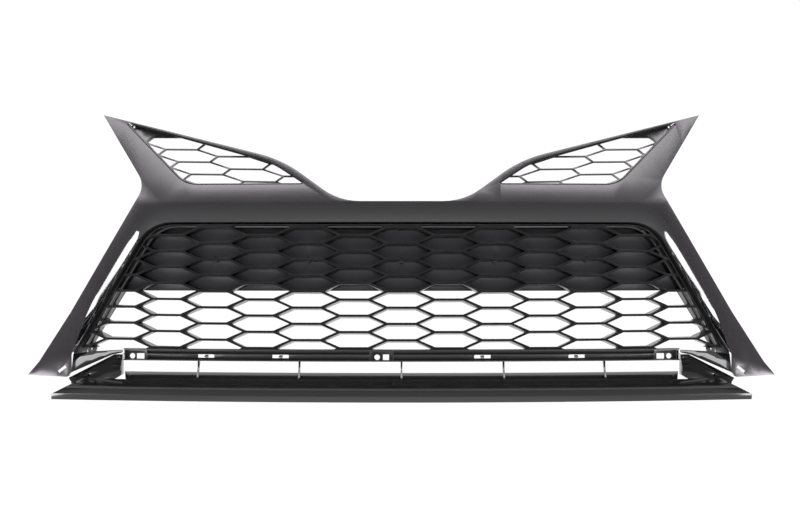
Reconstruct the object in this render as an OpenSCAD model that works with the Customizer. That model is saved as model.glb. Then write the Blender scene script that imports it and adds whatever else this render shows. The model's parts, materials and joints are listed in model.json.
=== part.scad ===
// Front grille of a passenger car, as one bolt-in assembly.
// A satin surround carries a gloss bezel, a honeycomb mesh with a blanking panel behind its
// upper rows, two wing meshes, a lower rail and a separate lip moulding on five struts.
// X runs across the car, -Y is the front and Z is up.
// The origin is the mouth of the centre locating hole in the upper flange.

/* [Body] */
// Plan radius that wraps the whole face round the bumper
wrap_r = 2400; // [2200:50:2800]
// Backward lean of the grille face in degrees
lean = 9; // [7:0.5:11]
// Backward lean of the two wings in degrees
wing_lean = 17; // [14:0.5:20]
// Thickness of the moulded skins
skin_t = 3; // [2.5:0.5:3.5]

/* [Main mesh] */
// Distance between two columns of cells
column_pitch = 78.3; // [76:0.1:80]
// Distance between two rows of cells
row_pitch = 26.6; // [26:0.1:27.5]
// Length of the level bar of a cell
flat_bar = 47.7; // [44:0.1:50]
// Thickness of every mesh bar
bar_t = 3.8; // [3:0.1:4.5]
// Depth of the mesh fins, front to back
fin_depth = 24; // [18:1:26]

/* [Lower rail] */
// Height of the rail's top face
rail_top = -244.5; // [-246:0.5:-243]
// Height of the rail, top face to bottom face
rail_h = 19.5; // [18:0.5:21]
// Diameter of the three round locating holes
locating_d = 9; // [8:0.5:9.5]

/* [Lip] */
// Distance between two support struts
strut_pitch = 167.5; // [160:0.5:170]
// Thickness of a strut
strut_t = 3; // [2:0.5:4]

/* [Upper flange] */
// Diameter of the centre locating hole
centre_hole_d = 8; // [7:0.5:9]
// Diameter of the two screw holes beside it
flange_hole_d = 6.5; // [5.5:0.5:7]
// Distance between the two screw holes
flange_hole_gap = 120; // [110:1:130]

/* [Hidden] */
$fn = 48;

// Steps in a rounded corner of an outline
ARC_STEPS = 6;
// Sides of the big turned skins, fine enough to look smooth
WRAP_SIDES = 720;
// The surround's front skin passes this far in front of the origin
FACE_Y = -22;
// Depths behind the front skin, measured along Y
BEZEL_DEPTH = 16;
SHROUD_DEPTH = 45;
MESH_FRONT = BEZEL_DEPTH + 2;
PANEL_FRONT = MESH_FRONT + fin_depth + 1;
PANEL_T = 3;
EAR_FRONT = 24;
EAR_T = 3;
WING_RECESS = 12;
WING_FIN = 12;
// Heights between which the turned skins are made
SKIN_LOW = -310;
SKIN_HIGH = 175;
// Front and back limits of every prism that trims a skin
PRISM_FRONT = -160;
PRISM_BACK = 260;

// ---- Geometry helpers ----

function unit(v) = v / norm(v);
function at(p) = [p[0], p[1]];

// Distance of the skin behind the origin at a height, on the centre line
function setback(z) = FACE_Y + (z < 0 ? z * tan(lean) : z * tan(wing_lean));
// Y of the surface that lies depth behind the front skin
function face_y(x, z, depth) = wrap_r - sqrt(pow(wrap_r - setback(z) - depth, 2) - x * x);
// How far the wrap carries a point at x behind the centre line
function wrap_y(x) = wrap_r - sqrt(wrap_r * wrap_r - x * x);

// Round one corner b between its neighbours a and c
function corner_arc(a, b, c, r) = r <= 0 ? [at(b)] :
    let (
        u = unit(at(a) - at(b)),
        w = unit(at(c) - at(b)),
        half = acos(u * w) / 2,
        centre = at(b) + unit(u + w) * r / sin(half),
        from = at(b) + u * r / tan(half) - centre,
        to = at(b) + w * r / tan(half) - centre,
        start = atan2(from[1], from[0]),
        turn = (atan2(to[1], to[0]) - start + 540) % 360 - 180
    )
    [for (i = [0:ARC_STEPS])
        centre + r * [cos(start + turn * i / ARC_STEPS), sin(start + turn * i / ARC_STEPS)]];

// Outline of corners [x, z, radius], taken anticlockwise
function rounded(p) = [for (i = [0:len(p) - 1])
    each corner_arc(p[(i + len(p) - 1) % len(p)], p[i], p[(i + 1) % len(p)], p[i][2])];

// The same corners on the other side of the centre plane, still anticlockwise
function flipped(p) = [for (i = [len(p) - 1:-1:0]) [-p[i][0], p[i][1], p[i][2]]];

function edge_normal(a, b) = unit([a[1] - b[1], b[0] - a[0]]);
// Outline moved inwards by d, with mitred corners
function inset(p, d) = [for (i = [0:len(p) - 1])
    let (
        n1 = edge_normal(p[(i + len(p) - 1) % len(p)], p[i]),
        n2 = edge_normal(p[i], p[(i + 1) % len(p)])
    )
    at(p[i]) + (n1 + n2) * d / (1 + n1 * n2)];

// Upright prism: an outline seen from the front, carried straight back
module prism(outline, front = PRISM_FRONT, back = PRISM_BACK)
    translate([0, back, 0])
        rotate([90, 0, 0])
            linear_extrude(back - front)
                polygon(outline);

// Turned skin between two depths behind the surround's front skin
module skin(front, back)
    translate([0, wrap_r, 0])
        rotate_extrude($fn = WRAP_SIDES)
            polygon([
                for (z = [SKIN_LOW, 0, SKIN_HIGH]) [wrap_r - setback(z) - front, z],
                for (z = [SKIN_HIGH, 0, SKIN_LOW]) [wrap_r - setback(z) - back, z]
            ]);

// Turned section: side-view corners [y, z] at the centre line, carried round the wrap
module wrapped(section)
    translate([0, wrap_r, 0])
        rotate_extrude($fn = WRAP_SIDES)
            polygon([for (p = section) [wrap_r - p[0], p[1]]]);

// Strip through rings of four points, closed at both ends
module ribbon(rings) {
    n = len(rings);
    polyhedron(
        points = [for (ring = rings) each ring],
        faces = [
            [3, 2, 1, 0],
            for (i = [0:n - 2], s = [0:3])
                let (t = (s + 1) % 4, a = 4 * i, b = 4 * i + 4)
                each [[a + s, b + t, b + s], [a + s, a + t, b + t]],
            [4 * n - 4, 4 * n - 3, 4 * n - 2, 4 * n - 1]
        ],
        convexity = 6
    );
}

module both_sides() {
    children();
    mirror([1, 0, 0]) children();
}

// Pan-head screw that enters from the back, its head's seat at the given place
module back_screw(p, head_d, shank_d, shank_l) {
    translate(p) rotate([-90, 0, 0]) cylinder(d = head_d, h = head_d * 0.3);
    translate(p) rotate([90, 0, 0]) cylinder(d = shank_d, h = shank_l);
}

// Round hole straight through, front to back
module through(p, d)
    translate([p[0], PRISM_FRONT, p[1]])
        rotate([-90, 0, 0])
            cylinder(d = d, h = PRISM_BACK - PRISM_FRONT);

// Round post along Y that starts at a depth behind the front skin
module post(p, depth, d, length)
    translate([p[0], face_y(p[0], p[1], depth), p[1]])
        rotate([-90, 0, 0])
            cylinder(d = d, h = length);

// ---- Outlines seen from the front, corners as [x, z, radius] ----

SURROUND_HALF = [
    [561, -292, 0], [624, -289, 0], [605, -267, 60], [552, -184, 0],
    [430.5, 27.5, 34], [509, 150, 0], [199, 70, 210], [103, 0, 105]
];
SURROUND = rounded(concat(SURROUND_HALF, flipped(SURROUND_HALF)));

// Open edge of the bezel on the front skin
BEZEL_FOOT = [548, -252];
BEZEL_KNEE = [520, -176];
BEZEL_CORNER = [425, -5];
BEZEL_R = 65;
OPENING_HALF = [
    [566, -300, 0], [549, -284, 0], [549, -254, 0],
    [BEZEL_KNEE[0], BEZEL_KNEE[1], 300], [BEZEL_CORNER[0], BEZEL_CORNER[1], BEZEL_R]
];
OPENING = rounded(concat(OPENING_HALF, flipped(OPENING_HALF)));

// Throat: the inner edge of the bezel, where the mesh begins
THROAT_FOOT = [546, -248];
THROAT_CORNER = [424, -34];
THROAT_R = 66;
THROAT_LOW = [THROAT_CORNER[0] + 152, -300];
// How much less the top of the throat draws in than its sides do
TOP_SHARE = 0.6;
// Outline of the throat, drawn in by a distance along X
function throat_at(in) =
    let (half = [
        [THROAT_LOW[0] - in, THROAT_LOW[1], 0],
        [THROAT_CORNER[0] - in, THROAT_CORNER[1] - in * TOP_SHARE, THROAT_R - in * TOP_SHARE]
    ])
    rounded(concat(half, flipped(half)));

// Wing opening on the right-hand side
WING = rounded([[362, 28, 50], [474, 139.5, 3.2], [216, 67, 150], [157, 28, 3]]);

// ---- Surround ----

LEG_BOSSES = [[467, -62], [498, -116], [538, -186]];
BAND_BOSSES = [[150, 11], [250, 11], [350, 11]];
SHROUD_BOSSES = concat(LEG_BOSSES, BAND_BOSSES);
WING_FOOT_BOSSES = [[200, 13], [300, 13]];
WING_SIDE_BOSS = [433, 84];
WING_BOSSES = concat(WING_FOOT_BOSSES, [WING_SIDE_BOSS]);
WING_EAR_FRONT = 10;
BOSS_D = 9;
SCREW_D = 3.4;
SCREW_HOLE_D = 3.5;
SCREW_HEAD_D = 8;
RIM_T = 2.5;
RIM_DEPTH = 20;
FLANGE_T = 2.5;
FLANGE_FRONT = -20;
FLANGE_BACK = 20;
FLANGE_HALF = 92;

// Hollow boss on the back of the front skin, as deep as the ear that is screwed to it
module boss(p, depth)
    difference() {
        post(p, skin_t - 1, BOSS_D, depth - skin_t + 1);
        post(p, skin_t + 1, SCREW_HOLE_D, depth);
    }

module upper_flange()
    translate([-FLANGE_HALF, FLANGE_FRONT, -FLANGE_T])
        cube([2 * FLANGE_HALF, FLANGE_BACK - FLANGE_FRONT, FLANGE_T]);

module flange_holes() {
    translate([0, 0, -FLANGE_T - 1]) cylinder(d = centre_hole_d, h = FLANGE_T + 2);
    for (x = [-flange_hole_gap / 2, flange_hole_gap / 2])
        translate([x, 0, -FLANGE_T - 1]) cylinder(d = flange_hole_d, h = FLANGE_T + 2);
}

// Slanted clip slot near the foot of a leg
LEG_SLOT = [565.3, -279.3];
LEG_SLOT_SIZE = [16, 4.5];
LEG_SLOT_SLANT = 37;
// Slot at the tip of a wing opening, cut through the surround and the wing mesh together
TIP_SLOT = [462.5, 133.9];
TIP_SLOT_SIZE = [7, 2.2];
TIP_SLOT_SLANT = -46;

// Slanted slot straight through, front to back
module slanted_slot(p, size, slant)
    translate([p[0], 0, p[1]])
        rotate([0, slant, 0])
            cube([size[0], 2 * PRISM_BACK, size[1]], center = true);

module surround_frame() color([0.2, 0.19, 0.2]) {
    difference() {
        union() {
            intersection() {
                prism(SURROUND);
                skin(0, skin_t);
            }
            intersection() {
                difference() {
                    prism(SURROUND);
                    prism(inset(SURROUND, RIM_T));
                }
                skin(skin_t - 1, RIM_DEPTH);
            }
            upper_flange();
        }
        prism(OPENING);
        both_sides() {
            prism(WING);
            slanted_slot(LEG_SLOT, LEG_SLOT_SIZE, LEG_SLOT_SLANT);
            slanted_slot(TIP_SLOT, TIP_SLOT_SIZE, TIP_SLOT_SLANT);
        }
        flange_holes();
    }
    both_sides() {
        for (p = SHROUD_BOSSES) boss(p, EAR_FRONT);
        for (p = WING_BOSSES) boss(p, WING_EAR_FRONT);
    }
}

// ---- Bezel and shroud, swept between matching runs of points ----

BEZEL_T = 2.5;
SHROUD_T = 2.5;
// How far the shroud's back edge lies inside its front edge
SHROUD_DRAFT = 20;
RUN_STEPS = 5;
// Where an ear ends inside the drafted wall, measured in from the throat
EAR_ROOT = 4.8;

function between(a, b, from, to) = [for (i = [from:to]) a + (b - a) * i / RUN_STEPS];
// Points from the foot of one leg to the top of the centre line
function half_run(foot, knee, corner, r) =
    let (arc = corner_arc(knee, corner, [0, corner[1]], r))
    concat(
        between(foot, knee, 0, RUN_STEPS - 1), between(knee, arc[0], 0, RUN_STEPS - 1), arc,
        between(arc[ARC_STEPS], [0, corner[1]], 1, RUN_STEPS)
    );
function throat_run(grow) =
    let (foot = THROAT_FOOT + [grow, 0], corner = THROAT_CORNER + [grow, grow * TOP_SHARE])
    half_run(foot, foot + (corner - foot) * 0.34, corner, THROAT_R + grow * TOP_SHARE);
// The shroud's legs go on straight down behind the corner ledges
SHROUD_DROP = 12;
function shroud_run(grow) =
    let (run = throat_run(grow))
    concat([run[0] - [0, SHROUD_DROP]], run);
function mirrored_ring(ring) = [for (p = ring) [-p[0], p[1], p[2]]];

// Strip across the whole opening: each half run gives [x, z] and its depth behind the skin
module opening_strip(runs, depths) {
    half = [for (k = [0:len(runs[0]) - 1])
        [for (c = [0:3]) [runs[c][k][0], face_y(runs[c][k][0], runs[c][k][1], depths[c]), runs[c][k][1]]]];
    ribbon(concat(half, [for (k = [len(half) - 2:-1:0]) mirrored_ring(half[k])]));
}

module bezel_liner() color([0.06, 0.06, 0.07]) {
    open_edge = half_run(BEZEL_FOOT, BEZEL_KNEE, BEZEL_CORNER, BEZEL_R);
    inner_edge = throat_run(0);
    opening_strip(
        [open_edge, inner_edge, inner_edge, open_edge],
        [0.1, BEZEL_DEPTH - 1, BEZEL_DEPTH - 1 + BEZEL_T, BEZEL_T]
    );
}

EAR_W = 14;
// An ear's strap is narrower than its round end, and starts clear of the hole
STRAP_W = EAR_W - 3;
STRAP_START = EAR_W / 4;
EAR_HOLE_D = 4.4;
// Ear: a plate that faces the front, round at the boss, with a strap that reaches to a wall
module ear(p, depth, reach) {
    y = face_y(p[0], p[1], depth);
    along = unit(reach);
    side = [-along[1], along[0]] * STRAP_W / 2;
    start = at(p) + along * STRAP_START;
    difference() {
        union() {
            translate([p[0], y, p[1]]) rotate([-90, 0, 0]) cylinder(d = EAR_W, h = EAR_T);
            prism([start - side, at(p) + reach - side, at(p) + reach + side, start + side], y, y + EAR_T);
        }
        through(p, EAR_HOLE_D);
    }
}

module mesh_shroud() color([0.1, 0.1, 0.11]) {
    back = MESH_FRONT + SHROUD_DEPTH - 2;
    opening_strip(
        [shroud_run(SHROUD_T), shroud_run(0), shroud_run(-SHROUD_DRAFT), shroud_run(SHROUD_T - SHROUD_DRAFT)],
        [MESH_FRONT, MESH_FRONT, back, back]
    );
    both_sides()
        difference() {
            union() {
                for (p = LEG_BOSSES) ear(p, EAR_FRONT, [-34, 0]);
                for (p = BAND_BOSSES) ear(p, EAR_FRONT, [0, THROAT_CORNER[1] - p[1] - 8]);
            }
            prism(throat_at(EAR_ROOT));
        }
}

module shroud_screws() color([0.5, 0.5, 0.52])
    both_sides()
        for (p = SHROUD_BOSSES)
            back_screw([p[0], face_y(p[0], p[1], EAR_FRONT) + EAR_T, p[1]], SCREW_HEAD_D, SCREW_D, 16);

// ---- Honeycomb ----

// Hexagon with sides e1, e2, e3 and their opposites, its bars taken off
function cell(c, e1, e2, e3, bar) =
    let (a = at(c) - (e1 + e2 + e3) / 2)
    inset([a, a + e1, a + e1 + e2, a + e1 + e2 + e3, a + e2 + e3, a + e3], bar / 2);

MESH_CENTRE_Z = -162.2;
DIAGONAL = [column_pitch - flat_bar, row_pitch / 2];
MESH_LOW = rail_top + 0.2;
MESH_RIM = 2;

module main_cells(outline)
    intersection() {
        prism(outline);
        union()
            for (i = [-7:7], j = [-6:5])
                prism(cell(
                    [i * column_pitch, MESH_CENTRE_Z + (j + (abs(i) % 2) / 2) * row_pitch],
                    [flat_bar, 0], DIAGONAL, [-DIAGONAL[0], DIAGONAL[1]], bar_t
                ), -100, 120);
    }

// How far the two layers of fins and the panel stand in from the throat, clear of the shroud
FRONT_IN = 6.8;
REAR_IN = 12.4;
PANEL_IN = 14.2;

module mesh_layer(shrink, front, back) {
    outline = throat_at(shrink);
    difference() {
        intersection() {
            prism(outline);
            skin(front, back);
            translate([-600, PRISM_FRONT, MESH_LOW]) cube([1200, 400, 300]);
        }
        main_cells(inset(outline, MESH_RIM));
    }
}

PANEL_SCREWS = [for (i = [-4:2:4]) [i * column_pitch, MESH_CENTRE_Z + 2.5 * row_pitch]];

module main_mesh() color([0.07, 0.07, 0.07]) {
    middle = MESH_FRONT + fin_depth / 2;
    boss_l = PANEL_FRONT - 0.5 - middle;
    difference() {
        union() {
            mesh_layer(FRONT_IN, MESH_FRONT, middle);
            mesh_layer(REAR_IN, middle, MESH_FRONT + fin_depth);
            for (p = PANEL_SCREWS) post(p, middle, BOSS_D, boss_l);
        }
        for (p = PANEL_SCREWS) post(p, middle, SCREW_HOLE_D, boss_l + 1);
    }
}

PANEL_LOW = MESH_CENTRE_Z + row_pitch / 2;
// Four pilot pips for a plate holder, two to a side
PIPS = [[87, -70.6], [153, -58.7]];
PIP_D = 5;

module blanking_panel() color([0.11, 0.11, 0.12]) {
    difference() {
        intersection() {
            prism(throat_at(PANEL_IN));
            skin(PANEL_FRONT, PANEL_FRONT + PANEL_T);
            translate([-600, PRISM_FRONT, PANEL_LOW]) cube([1200, 400, 300]);
        }
        for (p = PANEL_SCREWS) through(p, EAR_HOLE_D);
    }
    both_sides()
        for (p = PIPS)
            translate([p[0], face_y(p[0], p[1], PANEL_FRONT) - 1, p[1]])
                rotate([-90, 0, 0])
                    cylinder(d = PIP_D, h = 2);
}

module panel_screws() color([0.5, 0.5, 0.52])
    for (p = PANEL_SCREWS)
        back_screw(
            [p[0], face_y(p[0], p[1], PANEL_FRONT + PANEL_T) + 0.4, p[1]], SCREW_HEAD_D, SCREW_D, 12
        );

// ---- Wing meshes ----

WING_CELL = [361, 78.5];
WING_E1 = [-54, -1];
WING_E2 = [-36, -12];
WING_E3 = [13.5, -9.5];
WING_BAR = 3;
WING_WALL = 2;
WING_LAP = 7;
WING_BLANK_Z = 112;
TIP_HOLE = [456.7, 129.3];
TIP_HOLE_D = 4.5;

module wing_mesh() {
    wall = inset(WING, 0.4);
    hollow = inset(wall, WING_WALL);
    back = WING_RECESS + WING_FIN;
    difference() {
        union() {
            intersection() {
                prism(wall);
                skin(WING_RECESS, back);
            }
            intersection() {
                difference() {
                    prism(wall);
                    prism(hollow);
                }
                skin(skin_t, back);
            }
            intersection() {
                difference() {
                    prism(inset(WING, -WING_LAP));
                    prism(hollow);
                }
                prism(inset(SURROUND, RIM_T + 0.5));
                skin(skin_t + 0.2, skin_t + 2.4);
            }
            for (p = WING_FOOT_BOSSES) ear(p, WING_EAR_FRONT, [0, 17]);
            ear(WING_SIDE_BOSS, WING_EAR_FRONT, [-24, 0]);
        }
        intersection() {
            prism(hollow);
            union()
                for (i = [-2:3], j = [-3:3]) {
                    c = WING_CELL + i * (WING_E1 + WING_E2) + j * (WING_E2 + WING_E3);
                    if (c[1] < WING_BLANK_Z)
                        prism(cell(c, WING_E1, WING_E2, WING_E3, WING_BAR), -60, 160);
                }
        }
        through(TIP_HOLE, TIP_HOLE_D);
        slanted_slot(TIP_SLOT, TIP_SLOT_SIZE, TIP_SLOT_SLANT);
    }
}

module wing_screws()
    for (p = WING_BOSSES)
        back_screw([p[0], face_y(p[0], p[1], WING_EAR_FRONT) + EAR_T, p[1]], SCREW_HEAD_D, SCREW_D, 8);

module wing_mesh_right() color([0.07, 0.07, 0.07]) wing_mesh();
module wing_mesh_left() color([0.07, 0.07, 0.07]) mirror([1, 0, 0]) wing_mesh();
module wing_screws_right() color([0.5, 0.5, 0.52]) wing_screws();
module wing_screws_left() color([0.5, 0.5, 0.52]) mirror([1, 0, 0]) wing_screws();

// ---- Lower rail ----

RAIL_FRONT = -46;
RAIL_WEB = -38;
RAIL_WEB_T = 2.5;
RAIL_BACK = -28;
RAIL_LIP_T = 2;
RAIL_HALF = 462;
RAIL_MID_T = 1.6;
rail_low = rail_top - rail_h;
rail_mid = rail_top - 8.6;
RAIL_SECTION = [
    [RAIL_FRONT, rail_top], [RAIL_FRONT, rail_top - RAIL_LIP_T], [RAIL_WEB, rail_top - RAIL_LIP_T],
    [RAIL_WEB, rail_low + RAIL_LIP_T], [RAIL_FRONT, rail_low + RAIL_LIP_T], [RAIL_FRONT, rail_low],
    [RAIL_BACK, rail_low], [RAIL_BACK, rail_low + RAIL_LIP_T],
    [RAIL_WEB + RAIL_WEB_T, rail_low + RAIL_LIP_T], [RAIL_WEB + RAIL_WEB_T, rail_top - RAIL_LIP_T],
    [RAIL_BACK, rail_top - RAIL_LIP_T], [RAIL_BACK, rail_top]
];
// Level rib along the front of the web
RAIL_RIB = [
    [RAIL_FRONT, rail_mid + RAIL_MID_T / 2], [RAIL_FRONT, rail_mid - RAIL_MID_T / 2],
    [RAIL_WEB + 1, rail_mid - RAIL_MID_T / 2], [RAIL_WEB + 1, rail_mid + RAIL_MID_T / 2]
];
HOLE_Z = -257;
// A short collar stands out on both sides of the web round each locating hole
COLLAR_D = locating_d + 3;
COLLAR_OUT = 1;
// Each station has a round locating hole and a square one: [round x, square x, square width]
STATIONS = [[-448, -434, 13], [-40, -25.5, 10], [445, 430.5, 13]];
SQUARE_H = 9;
STATION_HALF = 19;
RIB_T = 1.6;
SNAP_SLOTS = [-323, -199, 133, 289];
SLOT_W = 27;
SLOT_H = 6;
SLOT_LOW = HOLE_Z - 2;

function station_mid(s) = (s[0] + s[1]) / 2;

module rail_length(section)
    intersection() {
        wrapped(section);
        translate([-RAIL_HALF, PRISM_FRONT, rail_low - 5]) cube([2 * RAIL_HALF, 400, rail_h + 10]);
    }

module rail_rib()
    difference() {
        rail_length(RAIL_RIB);
        for (s = STATIONS)
            translate([station_mid(s) - STATION_HALF, PRISM_FRONT, rail_mid - RAIL_MID_T])
                cube([2 * STATION_HALF, 400, 2 * RAIL_MID_T]);
    }

module lower_rail() color([0.09, 0.09, 0.1]) {
    difference() {
        union() {
            rail_length(RAIL_SECTION);
            rail_rib();
            for (s = STATIONS)
                translate([s[0], wrap_y(s[0]) + RAIL_WEB - COLLAR_OUT, HOLE_Z])
                    rotate([-90, 0, 0])
                        cylinder(d = COLLAR_D, h = RAIL_WEB_T + 2 * COLLAR_OUT);
        }
        for (s = STATIONS) {
            through([s[0], HOLE_Z], locating_d);
            translate([s[1] - s[2] / 2, PRISM_FRONT, HOLE_Z - SQUARE_H / 2]) cube([s[2], 400, SQUARE_H]);
        }
        for (x = SNAP_SLOTS)
            translate([x - SLOT_W / 2, PRISM_FRONT, SLOT_LOW]) cube([SLOT_W, 400, SLOT_H]);
    }
    for (s = STATIONS, side = [-1, 1]) {
        x = station_mid(s) + side * STATION_HALF;
        translate([x - RIB_T / 2, wrap_y(x) + RAIL_FRONT + 0.5, rail_low + 1])
            cube([RIB_T, RAIL_WEB - RAIL_FRONT + 0.5, rail_h - 2]);
    }
}

CLIP_W = 6;
module rail_clips() color([0.3, 0.3, 0.32])
    for (x = SNAP_SLOTS) {
        y = wrap_y(x) + RAIL_WEB;
        translate([x - CLIP_W / 2, y - 3, SLOT_LOW + 0.1]) cube([CLIP_W, 14, 1.2]);
        translate([x - CLIP_W / 2, y - 3, SLOT_LOW + 0.1]) cube([CLIP_W, 1.2, 3.2]);
        translate([x - CLIP_W / 2, y + 9.8, SLOT_LOW + 0.1]) cube([CLIP_W, 1.2, 4.2]);
    }

// ---- Corner ledges, between the legs and the rail ends ----

LEDGE = [[548, -284], [548, -254], [505, -249], [463, -246.5], [463, -251], [480, -254.5]];
LEDGE_SECTION = [[-44, -240], [-44, -246], [-67, -286], [-69.6, -286], [-46.6, -246], [-46.6, -240]];

module corner_ledge() {
    intersection() {
        prism(LEDGE);
        wrapped(LEDGE_SECTION);
    }
}
module corner_ledge_right() color([0.06, 0.06, 0.07]) corner_ledge();
module corner_ledge_left() color([0.06, 0.06, 0.07]) mirror([1, 0, 0]) corner_ledge();

CORNER_CLIPS = [514, 530];
module corner_clips()
    for (x = CORNER_CLIPS) {
        translate([x - 4, wrap_y(x) - 43, -255]) cube([8, 10, 8]);
        translate([x - 4, wrap_y(x) - 33.2, -255]) cube([8, 1.5, 12]);
    }
module corner_clips_right() color([0.3, 0.3, 0.32]) corner_clips();
module corner_clips_left() color([0.3, 0.3, 0.32]) mirror([1, 0, 0]) corner_clips();

// ---- Lip ----

LIP_SKIN = [
    [-62, -294], [-79, -303.5], [-85, -308], [-84.5, -318], [-80, -328], [-48, -329],
    [-48, -326], [-77.5, -325], [-81.5, -317], [-82, -309.5], [-77, -306.3], [-61, -297.4]
];
LIP_FACE = [[580, -335], [580, -319], [522, -290], [-522, -290], [-580, -319], [-580, -335]];
UNDER_HOLE_GAP = 500;
UNDER_HOLE_D = 6;
UNDER_HOLE_Y = -57;

module lip_blade() color([0.08, 0.08, 0.09])
    difference() {
        intersection() {
            prism(LIP_FACE);
            wrapped(LIP_SKIN);
        }
        for (x = [-UNDER_HOLE_GAP / 2, UNDER_HOLE_GAP / 2])
            translate([x, wrap_y(x) + UNDER_HOLE_Y, -340]) cylinder(d = UNDER_HOLE_D, h = 20);
    }

TRAY_FACE = [[453, -302], [463, -278], [-463, -278], [-453, -302]];
TRAY_SECTION = [[-61.5, -294.3], [-38, -282.5], [-37, -285], [-60.6, -296.9]];
module lip_tray() color([0.08, 0.08, 0.09])
    intersection() {
        prism(TRAY_FACE);
        wrapped(TRAY_SECTION);
    }

// Arm in three stepped layers, each further forward and lower: [front y, back y, outline]
ARM_LAYERS = [
    [-47, -30, [[557, -294.5], [478, -254.5], [464.5, -254.5], [464.5, -264], [479, -264], [552, -302]]],
    [-54, -30, [[552, -302], [479, -264], [464.5, -264], [464.5, -272], [478, -272], [548, -305]]],
    [-61, -30, [[548, -305], [478, -272], [464.5, -272], [464.5, -288], [474, -294], [534, -304]]]
];
ARM_SCREWS = [[469, -261], [520, -289]];
module lip_arm()
    difference() {
        for (layer = ARM_LAYERS)
            intersection() {
                prism(layer[2]);
                wrapped([[layer[0], -320], [layer[0], -240], [layer[1], -240], [layer[1], -320]]);
            }
        for (p = ARM_SCREWS) through(p, 4.1);
    }
module lip_arm_right() color([0.08, 0.08, 0.09]) lip_arm();
module lip_arm_left() color([0.08, 0.08, 0.09]) mirror([1, 0, 0]) lip_arm();

module lip_screws() color([0.5, 0.5, 0.52])
    both_sides()
        for (p = ARM_SCREWS)
            back_screw([p[0], wrap_y(p[0]) - 27.5, p[1]], SCREW_HEAD_D, 4, 12);

STRUT_SIDE = [
    [-45, -264.2], [-31, -264.2], [-34, -270], [-44, -280], [-49, -287.8],
    [-61, -294], [-59, -288], [-50, -279], [-45, -270]
];
module strut(index) {
    x = (index - 3) * strut_pitch;
    color([0.07, 0.07, 0.07])
        translate([x - strut_t / 2, wrap_y(x), 0])
            rotate([90, 0, 90])
                linear_extrude(strut_t)
                    polygon(STRUT_SIDE);
}
module strut_1() strut(1);
module strut_2() strut(2);
module strut_3() strut(3);
module strut_4() strut(4);
module strut_5() strut(5);

surround_frame();
bezel_liner();
mesh_shroud();
main_mesh();
blanking_panel();
wing_mesh_left();
wing_mesh_right();
lower_rail();
corner_ledge_left();
corner_ledge_right();
lip_blade();
lip_tray();
lip_arm_left();
lip_arm_right();
strut_1();
strut_2();
strut_3();
strut_4();
strut_5();
shroud_screws();
panel_screws();
wing_screws_left();
wing_screws_right();
rail_clips();
corner_clips_left();
corner_clips_right();
lip_screws();
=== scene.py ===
# %% [markdown]
# # A front grille, dressed for the studio
#
# The grille is one bolt-in assembly: a satin surround with two wings, a gloss bezel, a deep
# honeycomb, a slotted rail and a separate lip. Its shape and size come ready made as a fixed
# frame of plain solids. This lesson gives each of them the rolled edges and surface finishes
# that a moulded part has, and leaves every place and size as it is.

# %% Load the frame
import json
import math
import bpy
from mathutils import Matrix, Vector


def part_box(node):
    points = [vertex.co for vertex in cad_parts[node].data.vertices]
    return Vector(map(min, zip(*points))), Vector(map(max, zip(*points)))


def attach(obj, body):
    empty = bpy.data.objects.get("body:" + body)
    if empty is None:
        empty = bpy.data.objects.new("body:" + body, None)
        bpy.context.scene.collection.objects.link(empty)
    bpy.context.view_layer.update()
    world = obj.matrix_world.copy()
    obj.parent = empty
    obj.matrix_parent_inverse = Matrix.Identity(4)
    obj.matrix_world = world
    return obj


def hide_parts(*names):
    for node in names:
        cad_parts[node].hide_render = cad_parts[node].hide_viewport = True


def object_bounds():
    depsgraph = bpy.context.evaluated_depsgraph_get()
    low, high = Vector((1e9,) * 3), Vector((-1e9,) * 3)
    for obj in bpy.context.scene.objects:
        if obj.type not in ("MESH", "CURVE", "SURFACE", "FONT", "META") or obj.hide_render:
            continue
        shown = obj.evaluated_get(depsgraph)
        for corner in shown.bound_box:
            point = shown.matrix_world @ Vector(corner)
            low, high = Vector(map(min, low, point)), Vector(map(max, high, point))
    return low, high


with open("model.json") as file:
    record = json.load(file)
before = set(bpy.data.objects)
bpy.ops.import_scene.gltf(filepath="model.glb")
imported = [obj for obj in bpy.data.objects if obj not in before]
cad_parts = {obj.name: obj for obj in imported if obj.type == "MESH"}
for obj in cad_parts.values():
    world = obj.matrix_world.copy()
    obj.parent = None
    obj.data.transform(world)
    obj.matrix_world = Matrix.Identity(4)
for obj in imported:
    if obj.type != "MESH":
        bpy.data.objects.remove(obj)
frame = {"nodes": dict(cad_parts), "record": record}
cad_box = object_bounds()
MM = 0.001
print("frame box", [[round(v, 3) for v in corner] for corner in cad_box])

# %% [markdown]
# ## Camera
#
# A wide part is best looked at level and from well back, with a long lens, so that its two
# sides look alike. The camera stands close to the part's centre plane, a little below mid
# height, and its lens is chosen so that the full width fills most of the frame.

# %% Camera
CAMERA_DISTANCE = 2.8
SENSOR_WIDTH = 36
SHOWN_WIDTH = 1.3165
MESH_PLANE_Y = -29.6 * MM
CAMERA_DROP = 3 * MM
CAMERA_X = -2.5 * MM

camera_data = bpy.data.cameras.new("camera")
camera_data.sensor_width = SENSOR_WIDTH
camera_data.lens = SENSOR_WIDTH * CAMERA_DISTANCE / SHOWN_WIDTH
camera = bpy.data.objects.new("camera", camera_data)
bpy.context.scene.collection.objects.link(camera)
mid_height = (cad_box[0].z + cad_box[1].z) / 2
camera.location = (CAMERA_X, MESH_PLANE_Y - CAMERA_DISTANCE, mid_height - CAMERA_DROP)
camera.rotation_euler = (math.radians(90), 0, 0)
bpy.context.scene.camera = camera
print("lens", round(camera_data.lens, 1), "camera height", round(camera.location.z, 4))

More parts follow.
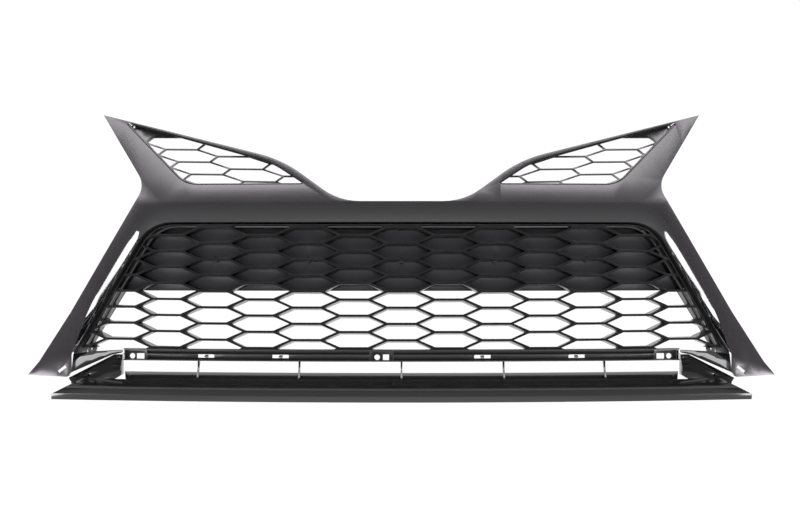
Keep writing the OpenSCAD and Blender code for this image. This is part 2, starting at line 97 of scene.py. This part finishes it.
# %% [markdown]
# ## Light and floor
#
# Black gloss shows nothing but what it reflects, so the light is really a set of white
# walls. The sky is white behind the part, dark behind the camera and brightest overhead:
# faces that look at the camera stay dark, and faces that look up turn pale. The slanted side
# of the bezel looks across the part and down, so one softbox lies low at each side, facing
# the far leg. The ledges look up at the front, so a wide one hangs high in front of the part.
# The floor lies far below, so that no shadow falls near the part, and it is very wide.

# %% Studio
FLOOR_GAP = 2.2
FLOOR_SIDE = 200
SKY_WHITE = 1.05
SKY_BEHIND_CAMERA = 0.16
SKY_OVERHEAD = 0.35
SKY_FRONT_FADE = (-0.95, -0.1)
SKY_TOP_FADE = (0.35, 0.8)
LOW_BOX_PLACE = (1.95, -1.15, -1.3)
LOW_BOX_AIM = (0.48, 0, -0.12)
LOW_BOX_SIZE = (1.4, 0.7)
LOW_BOX_WATTS = 75
HIGH_BOX_PLACE = (0, -1.6, 2.3)
HIGH_BOX_AIM = (0, 0, -0.25)
HIGH_BOX_SIZE = (6.4, 1.1)
HIGH_BOX_WATTS = 210


def ramp(nodes, links, value, start, end, low, high):
    fade = nodes.new("ShaderNodeMapRange")
    fade.interpolation_type = "SMOOTHSTEP"
    for label, number in (("From Min", start), ("From Max", end), ("To Min", low), ("To Max", high)):
        fade.inputs[label].default_value = number
    links.new(value, fade.inputs["Value"])
    return fade.outputs["Result"]


def studio_sky():
    world = bpy.data.worlds.new("studio_walls")
    world.use_nodes = True
    nodes, links = world.node_tree.nodes, world.node_tree.links
    direction = nodes.new("ShaderNodeTexCoord")
    axes = nodes.new("ShaderNodeSeparateXYZ")
    links.new(direction.outputs["Generated"], axes.inputs[0])
    walls = ramp(nodes, links, axes.outputs["Y"], *SKY_FRONT_FADE, SKY_BEHIND_CAMERA, SKY_WHITE)
    ceiling = ramp(nodes, links, axes.outputs["Z"], *SKY_TOP_FADE, 0.0, SKY_OVERHEAD)
    total = nodes.new("ShaderNodeMath")
    links.new(walls, total.inputs[0])
    links.new(ceiling, total.inputs[1])
    links.new(total.outputs[0], nodes["Background"].inputs["Color"])
    bpy.context.scene.world = world


def soft_lamp(name, place, aim, size, watts):
    lamp = bpy.data.lights.new(name, "AREA")
    lamp.shape = "RECTANGLE"
    lamp.size, lamp.size_y = size
    lamp.energy = watts
    holder = bpy.data.objects.new(name, lamp)
    bpy.context.scene.collection.objects.link(holder)
    holder.location = place
    holder.rotation_euler = (Vector(aim) - Vector(place)).to_track_quat("-Z", "Y").to_euler()
    return holder


studio_sky()
for side, name in ((-1, "left"), (1, "right")):
    place = (side * LOW_BOX_PLACE[0], *LOW_BOX_PLACE[1:])
    aim = (-side * LOW_BOX_AIM[0], *LOW_BOX_AIM[1:])
    soft_lamp(f"softbox_{name}", place, aim, LOW_BOX_SIZE, LOW_BOX_WATTS)
soft_lamp("softbox_over_camera", HIGH_BOX_PLACE, HIGH_BOX_AIM, HIGH_BOX_SIZE, HIGH_BOX_WATTS)
bpy.context.scene.view_settings.view_transform = "Standard"

bpy.ops.mesh.primitive_plane_add(size=FLOOR_SIDE, location=(0, 0, cad_box[0].z - FLOOR_GAP))
floor = bpy.context.object
floor.name = "floor"
print("3 softboxes, floor at", round(floor.location.z, 3))

# %% [markdown]
# ## Shared surface effects
#
# Every plastic on this part has the same two habits: a fine grain from the mould, and a
# slow mottle in how much it shines. They are built once as a node group with named sockets
# and used in each finish with its own values. A group keeps the finishes alike where they
# should be, which copied nodes would not.

# %% Moulded surface group
GRAIN_HEIGHT = 0.15 * MM


def new_group(name, inputs, outputs):
    group = bpy.data.node_groups.new(name, "ShaderNodeTree")
    for label, value in inputs:
        socket = group.interface.new_socket(label, in_out="INPUT", socket_type="NodeSocketFloat")
        socket.default_value = value
    for label, kind in outputs:
        group.interface.new_socket(label, in_out="OUTPUT", socket_type=kind)
    return group, group.nodes.new("NodeGroupInput"), group.nodes.new("NodeGroupOutput")


def moulded_surface_group():
    group, given, result = new_group(
        "moulded_surface",
        [("Grain Scale", 900), ("Mottle Scale", 12), ("Grain Depth", 0.2)],
        [
            ("Mottle", "NodeSocketFloat"), ("Speckle", "NodeSocketFloat"),
            ("Normal", "NodeSocketVector"),
        ],
    )
    nodes, links = group.nodes, group.links
    place = nodes.new("ShaderNodeTexCoord")
    grain = nodes.new("ShaderNodeTexNoise")
    grain.inputs["Detail"].default_value = 3
    mottle = nodes.new("ShaderNodeTexNoise")
    mottle.inputs["Detail"].default_value = 4
    bump = nodes.new("ShaderNodeBump")
    bump.inputs["Distance"].default_value = GRAIN_HEIGHT
    for texture, scale in ((grain, "Grain Scale"), (mottle, "Mottle Scale")):
        links.new(place.outputs["Object"], texture.inputs["Vector"])
        links.new(given.outputs[scale], texture.inputs["Scale"])
    links.new(grain.outputs["Fac"], bump.inputs["Height"])
    links.new(given.outputs["Grain Depth"], bump.inputs["Strength"])
    links.new(mottle.outputs["Fac"], result.inputs["Mottle"])
    links.new(grain.outputs["Fac"], result.inputs["Speckle"])
    links.new(bump.outputs["Normal"], result.inputs["Normal"])
    return group


def flake_group():
    group, given, result = new_group(
        "metal_flake", [("Flake Scale", 1600)], [("Flake", "NodeSocketFloat")]
    )
    nodes, links = group.nodes, group.links
    place = nodes.new("ShaderNodeTexCoord")
    flakes = nodes.new("ShaderNodeTexVoronoi")
    links.new(place.outputs["Object"], flakes.inputs["Vector"])
    links.new(given.outputs["Flake Scale"], flakes.inputs["Scale"])
    split = nodes.new("ShaderNodeSeparateColor")
    links.new(flakes.outputs["Color"], split.inputs["Color"])
    links.new(split.outputs["Red"], result.inputs["Flake"])
    return group


MOULDED = moulded_surface_group()
FLAKE = flake_group()
print("groups", MOULDED.name, FLAKE.name)

# %% One maker for every finish
MOTTLE_RANGE = (0.3, 0.7)


def finish(
    name, dark, light, shine, grain=(900, 0.2), mottle_scale=12, flake=False, **shader_values
):
    """Two close colours, a range of roughness, and the grain's scale and depth."""
    material = bpy.data.materials.new(name)
    material.use_nodes = True
    nodes, links = material.node_tree.nodes, material.node_tree.links
    shader = nodes["Principled BSDF"]
    for socket, value in shader_values.items():
        shader.inputs[socket.replace("_", " ")].default_value = value
    surface = nodes.new("ShaderNodeGroup")
    surface.node_tree = MOULDED
    surface.inputs["Grain Scale"].default_value = grain[0]
    surface.inputs["Grain Depth"].default_value = grain[1]
    surface.inputs["Mottle Scale"].default_value = mottle_scale
    colours = nodes.new("ShaderNodeMix")
    colours.data_type = "RGBA"
    colours.inputs["A"].default_value = (*dark, 1)
    colours.inputs["B"].default_value = (*light, 1)
    rough = nodes.new("ShaderNodeMapRange")
    rough.inputs["From Min"].default_value = MOTTLE_RANGE[0]
    rough.inputs["From Max"].default_value = MOTTLE_RANGE[1]
    rough.inputs["To Min"].default_value = shine[0]
    rough.inputs["To Max"].default_value = shine[1]
    links.new(surface.outputs["Mottle"], rough.inputs["Value"])
    if flake:
        flakes = nodes.new("ShaderNodeGroup")
        flakes.node_tree = FLAKE
        links.new(flakes.outputs["Flake"], colours.inputs["Factor"])
    else:
        links.new(surface.outputs["Speckle"], colours.inputs["Factor"])
    links.new(colours.outputs["Result"], shader.inputs["Base Color"])
    links.new(rough.outputs["Result"], shader.inputs["Roughness"])
    links.new(surface.outputs["Normal"], shader.inputs["Normal"])
    return material


# %% [markdown]
# ## Finishes
#
# The surround is painted: a satin dark metallic with fine flake under a thin clear coat.
# The bezel and ledges are gloss black with a faint orange peel. The honeycomb, rail and
# shroud come straight from a grained mould, and the panel has the deepest and dullest
# grain. The values below are picked under the light above.

# %% Finishes
FLOOR_GRAIN = (3, 0.0)
FINISHES = {
    "satin_surround": finish(
        "satin_surround", (0.014, 0.0125, 0.0145), (0.034, 0.030, 0.035), (0.26, 0.34), (700, 0.08),
        mottle_scale=5, flake=True, Metallic=0.5, Coat_Weight=0.25, Coat_Roughness=0.22,
    ),
    "gloss_black": finish(
        "gloss_black", (0.0020, 0.0020, 0.0026), (0.0036, 0.0036, 0.0048), (0.05, 0.09), (260, 0.04),
        Specular_IOR_Level=0.5,
    ),
    "gloss_lip": finish(
        "gloss_lip", (0.0025, 0.0025, 0.0028), (0.0055, 0.005, 0.0055), (0.12, 0.18), (900, 0.15),
        Specular_IOR_Level=0.4,
    ),
    "matt_mesh": finish(
        "matt_mesh", (0.002, 0.002, 0.002), (0.005, 0.005, 0.005), (0.2, 0.28), (1100, 0.2),
    ),
    "matt_panel": finish(
        "matt_panel", (0.085, 0.080, 0.090), (0.130, 0.124, 0.138), (0.55, 0.68), (800, 0.5),
    ),
    "moulded_rail": finish(
        "moulded_rail", (0.008, 0.008, 0.009), (0.016, 0.016, 0.018), (0.26, 0.38), (1000, 0.3),
    ),
    "moulded_shroud": finish(
        "moulded_shroud", (0.006, 0.006, 0.007), (0.012, 0.012, 0.014), (0.36, 0.48), (1000, 0.35),
    ),
    "screw_steel": finish(
        "screw_steel", (0.16, 0.16, 0.17), (0.24, 0.24, 0.25), (0.3, 0.45), (1500, 0.2), Metallic=1.0,
    ),
    "spring_steel": finish(
        "spring_steel", (0.30, 0.30, 0.31), (0.42, 0.42, 0.43), (0.22, 0.34), (1500, 0.15), Metallic=1.0,
    ),
}
pale_floor = finish("pale_floor", (0.90, 0.90, 0.90), (0.94, 0.94, 0.94), (0.8, 0.9), FLOOR_GRAIN)
floor.data.materials.append(pale_floor)

slot_of = {row["node"]: row["material_slot"] for row in frame["record"]["subparts"]}
for name, node in frame["nodes"].items():
    node.data.materials.clear()
    node.data.materials.append(FINISHES[slot_of[name]])
print(len(FINISHES), "finishes")


# %% [markdown]
# ## Tools of the bench
#
# A solid from the frame has knife-sharp edges, and a mould can't make those: every edge has
# a small roll, and that roll is what catches the light. The bench tools copy a solid, knit
# its triangles into whole faces, and then bevel its sharp edges. Edges are chosen by how
# sharp they are, because an edge picked by its number would be lost when the frame changes.

# %% Bench tools
def pick(piece):
    bpy.ops.object.select_all(action="DESELECT")
    piece.select_set(True)
    bpy.context.view_layer.objects.active = piece


def apply_all(piece):
    pick(piece)
    for modifier in list(piece.modifiers):
        bpy.ops.object.modifier_apply(modifier=modifier.name)


FLAT_ANGLE = math.radians(0.4)
WELD = 0.002 * MM
SMOOTH_ANGLE = math.radians(32)


def bench_copy(node, name):
    """A copy of a frame solid with its triangles welded and flat areas made whole faces."""
    piece = bpy.data.objects.new(name, frame["nodes"][node].data.copy())
    bpy.context.scene.collection.objects.link(piece)
    pick(piece)
    bpy.ops.object.mode_set(mode="EDIT")
    bpy.ops.mesh.select_all(action="SELECT")
    bpy.ops.mesh.remove_doubles(threshold=WELD)
    bpy.ops.mesh.customdata_custom_splitnormals_clear()
    bpy.ops.mesh.dissolve_limited(angle_limit=FLAT_ANGLE)
    bpy.ops.object.mode_set(mode="OBJECT")
    return piece


def roll_edges(piece, width, steps=2, sharper_than=35):
    """Rolls every edge that turns more than an angle, as a mould's own edge is rolled."""
    bevel = piece.modifiers.new("rolled_edges", "BEVEL")
    bevel.width = width
    bevel.segments = steps
    bevel.limit_method = "ANGLE"
    bevel.angle_limit = math.radians(sharper_than)
    bevel.use_clamp_overlap = True
    bevel.harden_normals = False
    apply_all(piece)


def settle(piece, node):
    """Ends a piece: smooth shading, finish, and its place on the fixed body."""
    pick(piece)
    bpy.ops.object.shade_smooth_by_angle(angle=SMOOTH_ANGLE)
    slot = slot_of[node]
    piece.data.materials.clear()
    piece.data.materials.append(FINISHES[slot])
    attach(piece, "root")
    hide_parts(node)
    print(piece.name, len(piece.data.polygons), "faces")


# %% [markdown]
# ## Surround
#
# The surround is a thin skin with a rim turned back all round it.
#
# Near the foot of each leg the skin has a crease, and below it the skin leans away to the
# rear. A cut is made along the crease, and a two-point lattice carries everything below it
# back, the further down the more. Points move only to the rear, so the outline seen straight
# from the front stays where it is.

# %% Surround
CREASE_INNER = (0.552, -0.259)
CREASE_OUTER = (0.611, -0.279)
FOOT_X = 0.545
FOOT_TOP = -0.25
FACET_SLOPE = 0.3
CREASE_MARGIN = 0.1 * MM
SURROUND_ROLL = 1.6 * MM


def lean_back_foot(piece, side):
    """Cuts the skin along the crease and leans everything below it to the rear."""
    inner = Vector((side * CREASE_INNER[0], 0, CREASE_INNER[1]))
    outer = Vector((side * CREASE_OUTER[0], 0, CREASE_OUTER[1]))
    along = (outer - inner).normalized()
    down = Vector((-along.z, 0, along.x)) * (-side)
    pick(piece)
    bpy.ops.object.mode_set(mode="EDIT")
    bpy.ops.mesh.select_mode(type="FACE")
    bpy.ops.mesh.select_all(action="DESELECT")
    bpy.ops.object.mode_set(mode="OBJECT")
    points = piece.data.vertices
    for face in piece.data.polygons:
        corners = [points[v].co for v in face.vertices]
        face.select = any(side * c.x > FOOT_X and c.z < FOOT_TOP for c in corners)
    bpy.ops.object.mode_set(mode="EDIT")
    bpy.ops.mesh.bisect(plane_co=inner, plane_no=down)
    bpy.ops.object.mode_set(mode="OBJECT")
    points = piece.data.vertices
    foot = [
        v.index for v in points
        if side * v.co.x > FOOT_X and (v.co - inner).dot(down) > CREASE_MARGIN
    ]
    group = piece.vertex_groups.new(name="foot")
    group.add(foot, 1.0, "REPLACE")
    low = Vector([min(points[i].co[k] for i in foot) for k in range(3)])
    high = Vector([max(points[i].co[k] for i in foot) for k in range(3)])
    middle, size = (low + high) / 2, high - low
    bpy.ops.object.add(type="LATTICE", location=middle)
    cage = bpy.context.object
    cage.scale = size
    cage.data.interpolation_type_u = cage.data.interpolation_type_v = "KEY_LINEAR"
    cage.data.interpolation_type_w = "KEY_LINEAR"
    for point in cage.data.points:
        place = Vector([middle[k] + point.co[k] * size[k] for k in range(3)])
        lean_back = FACET_SLOPE * (place - inner).dot(down)
        point.co_deform = point.co + Vector((0, lean_back / size.y, 0))
    bpy.context.view_layer.update()
    lean = piece.modifiers.new("lean", "LATTICE")
    lean.object, lean.vertex_group = cage, "foot"
    apply_all(piece)
    bpy.data.objects.remove(cage)
    piece.vertex_groups.clear()
    print("foot points", len(foot), "down", [round(v, 2) for v in down])


surround = bench_copy("surround_frame", "surround_skin")
for side in (-1, 1):
    lean_back_foot(surround, side)
roll_edges(surround, SURROUND_ROLL, steps=3)
settle(surround, "surround_frame")

# %% [markdown]
# ## Bezel and shroud
#
# The bezel is a gloss band round the main opening, and the shroud is the dark wall behind it.
# Both are thin shells whose shape is already in the frame, so rebuilding them would only risk
# errors: a copy with rolled edges is enough. The bezel is glossy and in full view, so its
# roll is the wider one.

# %% Bezel and shroud
BEZEL_ROLL = 0.8 * MM
SHROUD_ROLL = 0.5 * MM

bezel = bench_copy("bezel_liner", "bezel_shell")
roll_edges(bezel, BEZEL_ROLL)
settle(bezel, "bezel_liner")
shroud = bench_copy("mesh_shroud", "shroud_wall")
roll_edges(shroud, SHROUD_ROLL)
settle(shroud, "mesh_shroud")

# %% [markdown]
# ## Honeycomb
#
# The fins aren't level: at the middle of the part a fin's rear edge hangs lower than its
# front edge, and the drop dies away to the sides. That is why the undersides of the middle
# fins show. A lattice does it. Its points are spaced over the whole box of the mesh, and each
# is lowered by how deep it lies behind the curved front of the mesh, so front edges stay
# where they are. The same lattice turns the fins towards the middle with the wrap of the
# face, so the fins at the sides show their faces.
#
# The bend has a fault. The panel, its screws and the rail aren't bent with the fins, so the
# fins cut into them, by up to about 2 mm. Less bend at those places, or room for it in the
# frame, should cure it, and neither has been tried.

# %% Honeycomb
FIN_DEPTH = 24 * MM
FIN_DROP = 3.8 * MM
LEVEL_AT = 0.44
FIN_TURN = 1.5
WRAP_RADIUS = 2.4
LEAN = math.tan(math.radians(9))
MESH_FRONT_Y = -4 * MM
DEEPEST_SHARE = 1.4
CAGE_POINTS = (17, 24, 5)
HONEYCOMB_ROLL = 1.2 * MM


def depth_behind_front(place):
    wrap = WRAP_RADIUS - math.sqrt(WRAP_RADIUS ** 2 - place.x ** 2)
    return place.y - (MESH_FRONT_Y + wrap + place.z * LEAN)


def droop_fins(piece):
    low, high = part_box("main_mesh")
    middle, size = (low + high) / 2, high - low
    bpy.ops.object.add(type="LATTICE", location=middle)
    cage = bpy.context.object
    cage.scale = size
    cage.data.points_u, cage.data.points_v, cage.data.points_w = CAGE_POINTS
    cage.data.interpolation_type_u = cage.data.interpolation_type_v = "KEY_LINEAR"
    cage.data.interpolation_type_w = "KEY_LINEAR"
    for point in cage.data.points:
        place = Vector([middle[k] + point.co[k] * size[k] for k in range(3)])
        share = min(max(depth_behind_front(place) / FIN_DEPTH, 0.0), DEEPEST_SHARE)
        drop = FIN_DROP * share * (1 - (place.x / LEVEL_AT) ** 2)
        turn = FIN_DEPTH * share * FIN_TURN * place.x / WRAP_RADIUS
        point.co_deform = point.co - Vector((turn / size.x, 0, drop / size.z))
    bpy.context.view_layer.update()
    bend = piece.modifiers.new("droop", "LATTICE")
    bend.object = cage
    apply_all(piece)
    bpy.data.objects.remove(cage)


honeycomb = bench_copy("main_mesh", "honeycomb_core")
roll_edges(honeycomb, HONEYCOMB_ROLL, steps=3)
droop_fins(honeycomb)
settle(honeycomb, "main_mesh")

# %% [markdown]
# ## Lip
#
# The lip is a blade with a tray behind it, an arm at each end and five thin struts up to the
# rail. The blade's nose is round, so it gets a wide roll in four steps, and even shallow
# edges are rolled. The others are plain mouldings: each is a copy with a small roll, and one
# loop makes them all.

# %% Lip
BLADE_ROLL = 2.4 * MM


def roll_copies(rows):
    """Makes a rolled copy of each named solid; a row gives solid, piece and roll in mm."""
    for node, name, width in rows:
        piece = bench_copy(node, name)
        roll_edges(piece, width * MM)
        settle(piece, node)


lip_blade = bench_copy("lip_blade", "lip_blade_skin")
roll_edges(lip_blade, BLADE_ROLL, steps=4, sharper_than=14)
settle(lip_blade, "lip_blade")
roll_copies((
    ("lip_tray", "lip_tray_skin", 0.6),
    ("lip_arm_left", "lip_arm_skin_left", 1.4), ("lip_arm_right", "lip_arm_skin_right", 1.4),
    ("strut_1", "strut_rib_1", 0.5), ("strut_2", "strut_rib_2", 0.5), ("strut_3", "strut_rib_3", 0.5),
    ("strut_4", "strut_rib_4", 0.5), ("strut_5", "strut_rib_5", 0.5),
))

# %% [markdown]
# ## Clips, ledges, rail, wing meshes and panel
#
# These are flat or folded mouldings and strips with small edges, and the frame has their
# whole shape. The same loop rolls them: a little more on the ledges, which are glossy and
# show a wide highlight, and a little less on the rail and its clips, where the folds are thin.

# %% Clips, ledges, rail, wing meshes and panel
roll_copies((
    ("rail_clips", "rail_clip_strips", 0.4), ("corner_clips_left", "corner_clip_strips_left", 0.5),
    ("corner_clips_right", "corner_clip_strips_right", 0.5),
    ("corner_ledge_left", "ledge_skin_left", 0.6), ("corner_ledge_right", "ledge_skin_right", 0.6),
    ("lower_rail", "rail_channel", 0.4), ("wing_mesh_left", "wing_lattice_left", 0.5),
    ("wing_mesh_right", "wing_lattice_right", 0.5), ("blanking_panel", "panel_sheet", 0.5),
))

# %% [markdown]
# ## Screws
#
# All the screws are pan heads driven from the back, and one function makes each of them in
# its place. Copies of one screw would do as well, but this way a screw takes its size from
# its own box. A place is read from the frame: each loose solid of a screw node has a box,
# whose back face is the head's top and whose centre line is the screw's axis. The head is a
# disc with a rolled rim, and its round recess is sunk by insetting and pushing in the top.
# The shank gets a thread of shallow rings.

# %% Screws
HEAD_SHARE = 0.3
HEAD_ROLL_SHARE = 0.3
HEAD_SIDES = 32
SHANK_SHARE = 0.425
SHANK_SIDES = 24
RECESS_SHARE = 0.34
RECESS_TAPER = 0.5
RECESS_DEPTH_SHARE = 0.55
THREAD_PITCH = 1.4 * MM
THREAD_CUT = 0.82
TOUCH = 0.01 * MM
REARWARD = 0.9


def loose_boxes(node):
    """The box of each loose solid of a frame node, from left to right."""
    mesh = frame["nodes"][node].data
    root = list(range(len(mesh.vertices)))

    def find(index):
        while root[index] != index:
            root[index] = root[root[index]]
            index = root[index]
        return index

    for edge in mesh.edges:
        first, second = (find(vertex) for vertex in edge.vertices)
        root[second] = first
    parts = {}
    for vertex in mesh.vertices:
        parts.setdefault(find(vertex.index), []).append(vertex.co)
    boxes = []
    for points in parts.values():
        low = Vector([min(p[k] for p in points) for k in range(3)])
        high = Vector([max(p[k] for p in points) for k in range(3)])
        boxes.append((low, high))
    return sorted(boxes, key=lambda box: (round(box[0].x, 4), box[0].z))


def merged_boxes(boxes):
    """Boxes that touch belong to one solid whose faces came unwelded."""
    merged = []
    for low, high in boxes:
        for other in merged:
            if all(
                low[k] <= other[1][k] + TOUCH and high[k] >= other[0][k] - TOUCH for k in range(3)
            ):
                other[0] = Vector([min(low[k], other[0][k]) for k in range(3)])
                other[1] = Vector([max(high[k], other[1][k]) for k in range(3)])
                break
        else:
            merged.append([low.copy(), high.copy()])
    return merged


def screw_at(name, low, high):
    """A pan-head screw along Y whose head is at the back of its box."""
    head_r = (high.x - low.x) / 2
    head_h = 2 * head_r * HEAD_SHARE
    length = high.y - low.y
    axis_x, axis_z = (low.x + high.x) / 2, (low.z + high.z) / 2
    shank_r = head_r * SHANK_SHARE
    bpy.ops.mesh.primitive_cylinder_add(
        vertices=HEAD_SIDES, radius=head_r, depth=head_h, rotation=(math.radians(-90), 0, 0),
        location=(axis_x, high.y - head_h / 2, axis_z),
    )
    head = bpy.context.object
    head.name = name
    bpy.ops.object.transform_apply(location=True, rotation=True, scale=True)
    bpy.ops.object.mode_set(mode="EDIT")
    bpy.ops.mesh.select_mode(type="FACE")
    bpy.ops.mesh.select_all(action="DESELECT")
    bpy.ops.object.mode_set(mode="OBJECT")
    for face in head.data.polygons:
        face.select = face.normal.y > REARWARD
    bpy.ops.object.mode_set(mode="EDIT")
    bpy.ops.mesh.inset(thickness=head_r * (1 - RECESS_SHARE), depth=0)
    bpy.ops.mesh.inset(
        thickness=head_r * RECESS_SHARE * RECESS_TAPER, depth=-head_h * RECESS_DEPTH_SHARE
    )
    bpy.ops.object.mode_set(mode="OBJECT")
    roll_edges(head, head_h * HEAD_ROLL_SHARE, steps=3, sharper_than=50)
    bpy.ops.mesh.primitive_cylinder_add(
        vertices=SHANK_SIDES, radius=shank_r, depth=length - head_h, rotation=(math.radians(-90), 0, 0),
        location=(axis_x, low.y + (length - head_h) / 2, axis_z),
    )
    shank = bpy.context.object
    bpy.ops.object.transform_apply(location=True, rotation=True, scale=True)
    turns = int((length - head_h) / THREAD_PITCH)
    pick(shank)
    bpy.ops.object.mode_set(mode="EDIT")
    for turn in range(1, 2 * turns):
        ring = (axis_x, low.y + turn * THREAD_PITCH / 2, axis_z)
        bpy.ops.mesh.select_all(action="SELECT")
        bpy.ops.mesh.bisect(plane_co=ring, plane_no=(0, 1, 0))
        if turn % 2:
            bpy.ops.transform.resize(value=(THREAD_CUT, 1, THREAD_CUT), center_override=ring)
    bpy.ops.object.mode_set(mode="OBJECT")
    return [head, shank]


def fit_screws(node, name):
    """Makes the screws of one frame node, joined as one piece."""
    made = []
    boxes = merged_boxes(loose_boxes(node))
    for index, (low, high) in enumerate(boxes):
        made += screw_at(f"{name}_{index}", low, high)
    bpy.ops.object.select_all(action="DESELECT")
    for piece in made:
        piece.select_set(True)
    bpy.context.view_layer.objects.active = made[0]
    bpy.ops.object.join()
    group = bpy.context.object
    group.name = name
    bpy.ops.object.transform_apply(location=True, rotation=True, scale=True)
    settle(group, node)
    print(name, len(boxes), "screws")


for node, name in (
    ("shroud_screws", "shroud_pan_heads"), ("panel_screws", "panel_pan_heads"),
    ("wing_screws_left", "wing_pan_heads_left"), ("wing_screws_right", "wing_pan_heads_right"),
    ("lip_screws", "lip_pan_heads"),
):
    fit_screws(node, name)
